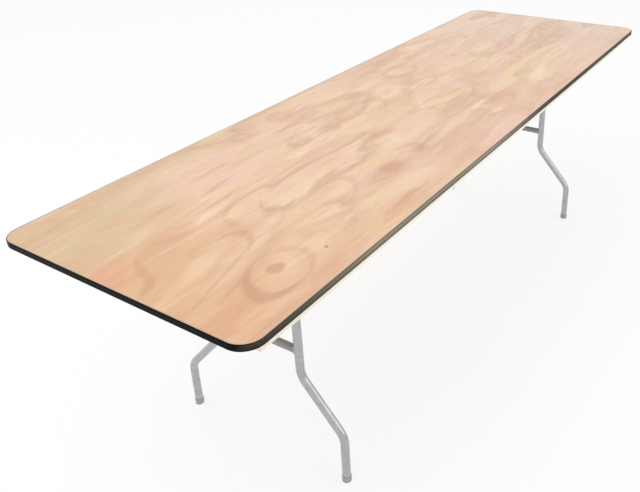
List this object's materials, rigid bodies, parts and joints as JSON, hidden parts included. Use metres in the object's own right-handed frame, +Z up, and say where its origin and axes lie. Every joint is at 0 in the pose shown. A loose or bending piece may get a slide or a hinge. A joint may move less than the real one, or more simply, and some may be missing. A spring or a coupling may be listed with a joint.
{
  "type": "banquet table",
  "caption": "Long rectangular folding banquet table: plywood top with black vinyl edging on hardwood runners, and wishbone steel-tube legs with jointed braces that fold flat under the top.",
  "frame": {"origin": "on the floor under the middle of the top", "axes": "+X along the table's length towards the end that is far in the picture, +Y across the width to the left, +Z up"},
  "size_m": [2.4384, 0.762, 0.762],
  "materials": {
    "plywood": "clear-lacquered rotary-cut plywood, satin",
    "edging": "black extruded vinyl T-moulding, semi-gloss",
    "runner": "pale planed hardwood, clear sealed",
    "tube": "zinc-plated steel tube, satin bright",
    "bracket": "zinc-plated pressed steel",
    "fastener": "zinc-plated steel screws, rivets, pins and bushes",
    "foot": "grey moulded plastic, worn matte"
  },
  "bodies": {
    "top": {"plywood_top": "plywood", "edge_bumper": "edging", "side_runner_left": "runner", "side_runner_right": "runner", "end_runner_near": "runner", "end_runner_far": "runner", "centre_rail": "runner", "runner_screws": "fastener", "bracket_screws": "fastener", "hinge_bracket_left_near": "bracket", "hinge_pin_left_near": "fastener", "hinge_bracket_right_near": "bracket", "hinge_pin_right_near": "fastener", "brace_hanger_near": "bracket", "hanger_rivets_near": "fastener", "hinge_bracket_left_far": "bracket", "hinge_pin_left_far": "fastener", "hinge_bracket_right_far": "bracket", "hinge_pin_right_far": "fastener", "brace_hanger_far": "bracket", "hanger_rivets_far": "fastener"},
    "leg_frame_near": {"leg_tube_left_near": "tube", "foot_cap_left_near": "foot", "leg_tube_right_near": "tube", "foot_cap_right_near": "foot", "crossbar_near": "tube", "crossbar_collars_near": "fastener", "pivot_bushes_near": "fastener"},
    "upper_brace_near": {"brace_strap_left_near": "bracket", "brace_strap_right_near": "bracket", "knee_rivets_near": "fastener", "stop_pin_near": "fastener"},
    "lower_brace_near": {"brace_bar_near": "bracket", "knee_pin_near": "fastener"},
    "leg_frame_far": {"leg_tube_left_far": "tube", "foot_cap_left_far": "foot", "leg_tube_right_far": "tube", "foot_cap_right_far": "foot", "crossbar_far": "tube", "crossbar_collars_far": "fastener", "pivot_bushes_far": "fastener"},
    "upper_brace_far": {"brace_strap_left_far": "bracket", "brace_strap_right_far": "bracket", "knee_rivets_far": "fastener", "stop_pin_far": "fastener"},
    "lower_brace_far": {"brace_bar_far": "bracket", "knee_pin_far": "fastener"}
  },
  "joints": [
    {"name": "leg_fold_near", "type": "hinge", "parent": "top", "child": "leg_frame_near", "pos_m": [-0.8222, 0, 0.722], "axis": [0, -1, 0], "range_deg": [0, 90]},
    {"name": "upper_brace_turn_near", "type": "hinge", "parent": "top", "child": "upper_brace_near", "pos_m": [-0.5222, 0, 0.722], "axis": [0, -1, 0], "range_deg": [-48.67, 0]},
    {"name": "lower_brace_turn_near", "type": "hinge", "parent": "leg_frame_near", "child": "lower_brace_near", "pos_m": [-0.8222, 0, 0.381], "axis": [0, -1, 0], "range_deg": [0, 41.35]},
    {"name": "leg_fold_far", "type": "hinge", "parent": "top", "child": "leg_frame_far", "pos_m": [0.8222, 0, 0.722], "axis": [0, 1, 0], "range_deg": [0, 90]},
    {"name": "upper_brace_turn_far", "type": "hinge", "parent": "top", "child": "upper_brace_far", "pos_m": [0.5222, 0, 0.722], "axis": [0, 1, 0], "range_deg": [-48.67, 0]},
    {"name": "lower_brace_turn_far", "type": "hinge", "parent": "leg_frame_far", "child": "lower_brace_far", "pos_m": [0.8222, 0, 0.381], "axis": [0, 1, 0], "range_deg": [0, 41.35]}
  ],
  "couplings": [
    {"joint": "upper_brace_turn_near", "follows": "leg_fold_near", "ratio": -0.54066},
    {"joint": "lower_brace_turn_near", "follows": "leg_fold_near", "ratio": 0.45934},
    {"joint": "upper_brace_turn_far", "follows": "leg_fold_far", "ratio": -0.54066},
    {"joint": "lower_brace_turn_far", "follows": "leg_fold_far", "ratio": 0.45934}
  ]
}
